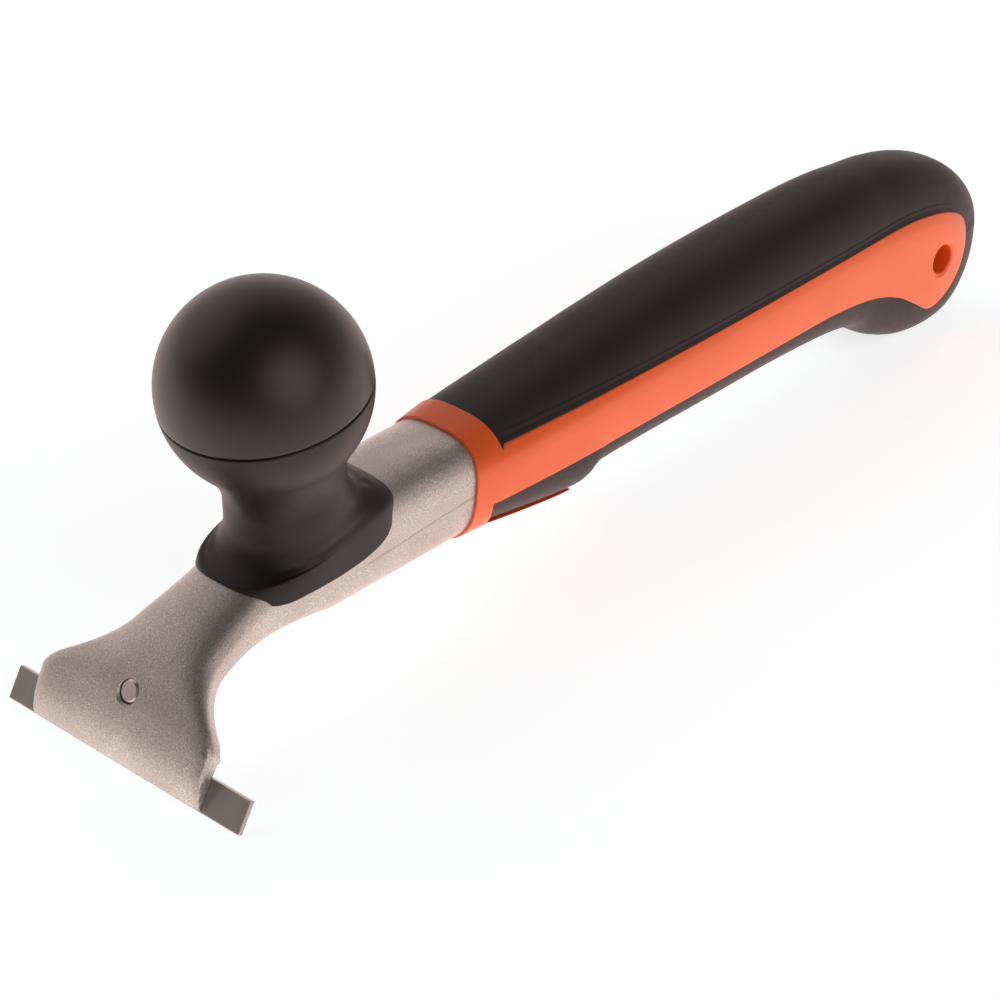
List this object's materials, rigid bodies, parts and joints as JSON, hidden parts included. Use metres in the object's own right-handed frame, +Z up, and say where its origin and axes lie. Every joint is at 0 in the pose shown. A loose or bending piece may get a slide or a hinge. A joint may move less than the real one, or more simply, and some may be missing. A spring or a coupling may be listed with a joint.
{
  "type": "carbide scraper",
  "caption": "Hand pull scraper with a screw-clamped carbide blade across a cast T-shaped head, a ball knob over the head and a two-material grip handle.",
  "frame": {"origin": "on the surface that the scraper lies on, under the middle of its bounding box", "axes": "+X along the tool from the blade to the handle's rear end, +Y across the tool along the blade, +Z up through the ball knob"},
  "size_m": [0.265, 0.065, 0.0864],
  "materials": {
    "casting": "cast, bead-blasted satin",
    "carbide": "ground, satin",
    "clamp": "black satin",
    "clamp_steel": "black oxide",
    "knob": "satin, fine texture",
    "inner_steel": "zinc plated",
    "core": "satin gloss",
    "grip": "matt"
  },
  "bodies": {
    "tool": {"head_casting": "casting", "knob_base": "knob", "knob_cap": "knob", "knob_screw": "inner_steel", "knob_washer": "inner_steel", "handle_core": "core", "grip_overmould": "grip"},
    "blade": {"blade": "carbide"},
    "clamp_plate": {"clamp_plate": "clamp"},
    "clamp_screw": {"clamp_screw": "clamp_steel"}
  },
  "joints": [
    {"name": "blade_slide", "type": "slide", "parent": "tool", "child": "blade", "axis": [0, 1, 0], "range_m": [-0.056, 0.056]},
    {"name": "clamp_lift", "type": "slide", "parent": "tool", "child": "clamp_plate", "axis": [0.8572, 0, -0.515], "range_m": [0, 0.0016]},
    {"name": "clamp_screw_turn", "type": "hinge", "parent": "clamp_plate", "child": "clamp_screw", "pos_m": [-0.12453, 0, 0.01306], "axis": [0.8572, 0, -0.515], "range_deg": [0, 720]}
  ],
  "couplings": [
    {"joint": "clamp_screw_turn", "follows": "clamp_lift", "rad_per_m": 7854}
  ]
}
